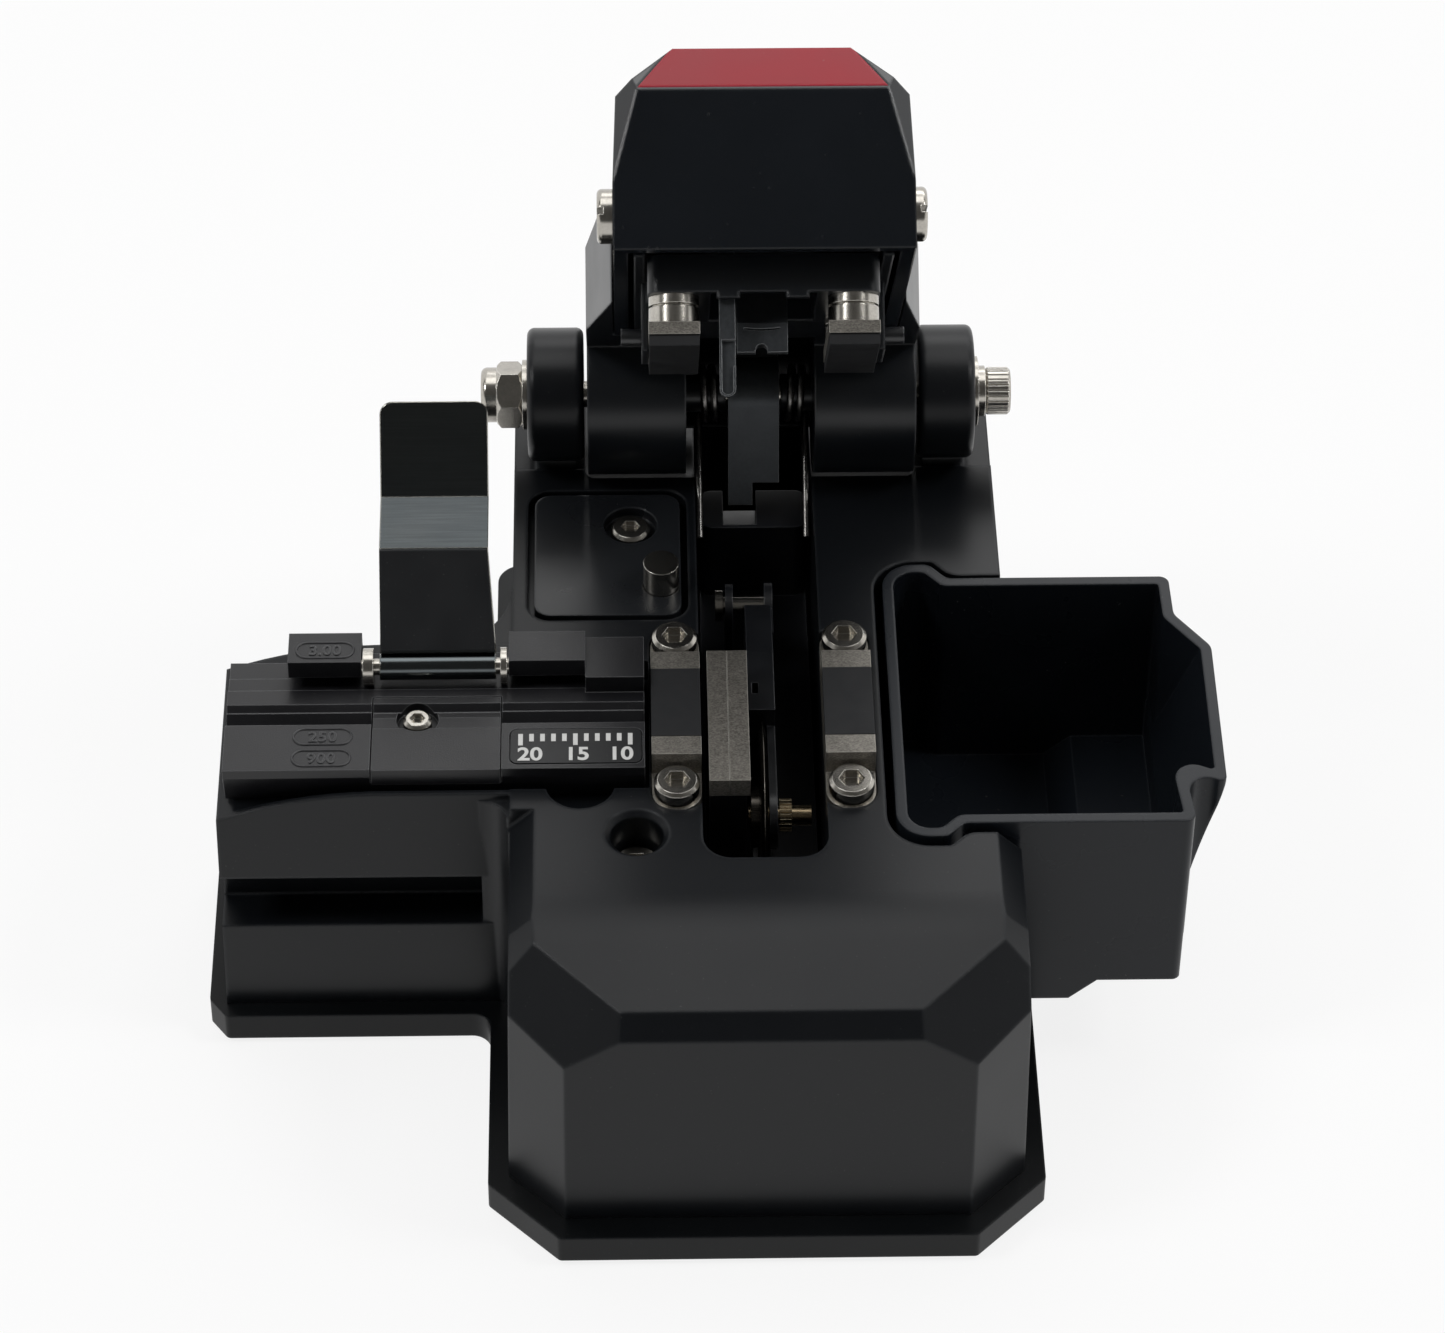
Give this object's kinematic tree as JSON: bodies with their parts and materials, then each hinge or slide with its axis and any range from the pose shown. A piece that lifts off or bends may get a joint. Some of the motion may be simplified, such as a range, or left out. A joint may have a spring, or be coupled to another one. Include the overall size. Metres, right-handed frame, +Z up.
{
  "type": "optical fibre cleaver",
  "caption": "Bench fibre cleaver with a sprung lid, blade slide, fibre holder with clamp on a side wing, and a lift-out bin for fibre ends",
  "frame": {"origin": "On the table plane, straight below the point where the blade meets the fibre", "axes": "+X along the fibre towards the bin, +Y from the user towards the hinge, +Z up"},
  "size_m": [0.0924, 0.0876, 0.086],
  "materials": {
    "housing_paint": "satin black paint over a die casting",
    "base_plastic": "moulded black, fine texture",
    "pad_rubber": "black rubber",
    "foot_rubber": "grey-black rubber",
    "screw_steel": "stainless, turned",
    "black_screw": "black oxide",
    "ground_steel": "ground",
    "bright_chrome": "polished",
    "dark_chrome": "polished spring plate",
    "holder_alu": "black anodised, bead blasted",
    "scale_print": "printed scale",
    "cover_plastic": "gloss black",
    "cap_red": "gloss red",
    "slide_black": "black oxide",
    "leaf_grey": "dark spring steel",
    "brass": "turned",
    "blade": "hard metal, lapped edge",
    "bin_plastic": "moulded black"
  },
  "bodies": {
    "body": {"base_plate": "base_plastic", "rubber_feet": "foot_rubber", "base_screws": "black_screw", "main_housing": "housing_paint", "housing_screw": "black_screw", "deck_plate": "housing_paint", "deck_plate_screw": "screw_steel", "lid_stop_post": "screw_steel", "lower_pad_screws": "screw_steel", "lower_pad_block_left": "ground_steel", "lower_pad_block_right": "ground_steel", "lower_rubber_left": "pad_rubber", "lower_rubber_right": "pad_rubber", "hinge_spring_left": "bright_chrome", "hinge_spring_right": "bright_chrome", "slide_rail": "ground_steel", "rail_screws": "black_screw", "hinge_axle": "screw_steel", "hinge_nut": "bright_chrome", "hinge_washers": "bright_chrome", "fibre_holder": "holder_alu", "holder_insert": "holder_alu", "holder_screw": "screw_steel", "scale_plate": "scale_print", "clamp_pin": "bright_chrome", "clamp_springs": "bright_chrome"},
    "lid": {"lid_arm": "housing_paint", "lid_cover": "cover_plastic", "red_cap": "cap_red", "cover_screws": "screw_steel", "bracket_pins": "screw_steel", "anvil": "leaf_grey", "trigger_finger": "leaf_grey", "push_leaf": "leaf_grey"},
    "upper_pads": {"upper_bracket": "slide_black", "pad_studs": "bright_chrome", "pad_shaft": "slide_black", "upper_pad_block_left": "ground_steel", "upper_pad_block_right": "ground_steel", "upper_rubber_left": "pad_rubber", "upper_rubber_right": "pad_rubber"},
    "slide": {"carriage_saddle": "slide_black", "carriage_block": "slide_black", "guard_halves": "ground_steel", "blade_arm": "slide_black", "arm_pivot_pin": "bright_chrome", "brass_stud": "brass"},
    "blade": {"blade_wheel": "blade", "blade_hub": "slide_black"},
    "clamp": {"clamp_plate": "dark_chrome", "clamp_rubber": "pad_rubber"},
    "bin": {"waste_bin": "bin_plastic"}
  },
  "joints": [
    {"name": "lid_hinge", "type": "hinge", "parent": "body", "child": "lid", "pos_m": [0, 0.0372, 0.0372], "axis": [1, 0, 0], "range_deg": [0, 52], "stiffness_Nm_per_rad": 0.02, "springref_deg": -57.3},
    {"name": "pads_float", "type": "slide", "parent": "lid", "child": "upper_pads", "axis": [0, 0.788, 0.6157], "range_m": [0, 0.0008], "stiffness_N_per_m": 400, "springref_m": -0.0005},
    {"name": "carriage_slide", "type": "slide", "parent": "body", "child": "slide", "axis": [0, 1, 0], "range_m": [0, 0.0098]},
    {"name": "blade_index", "type": "hinge", "parent": "slide", "child": "blade", "pos_m": [0, -0.006, 0.0242], "axis": [1, 0, 0], "continuous": true},
    {"name": "fibre_clamp_hinge", "type": "hinge", "parent": "body", "child": "clamp", "pos_m": [0, 0.0043, 0.0334], "axis": [1, 0, 0], "range_deg": [0, 130]},
    {"name": "bin_lift", "type": "slide", "parent": "body", "child": "bin", "axis": [0, 0, -1], "range_m": [-0.022, 0]}
  ],
  "couplings": [
    {"joint": "carriage_slide", "follows": "lid_hinge", "m_per_rad": 0.01075}
  ]
}
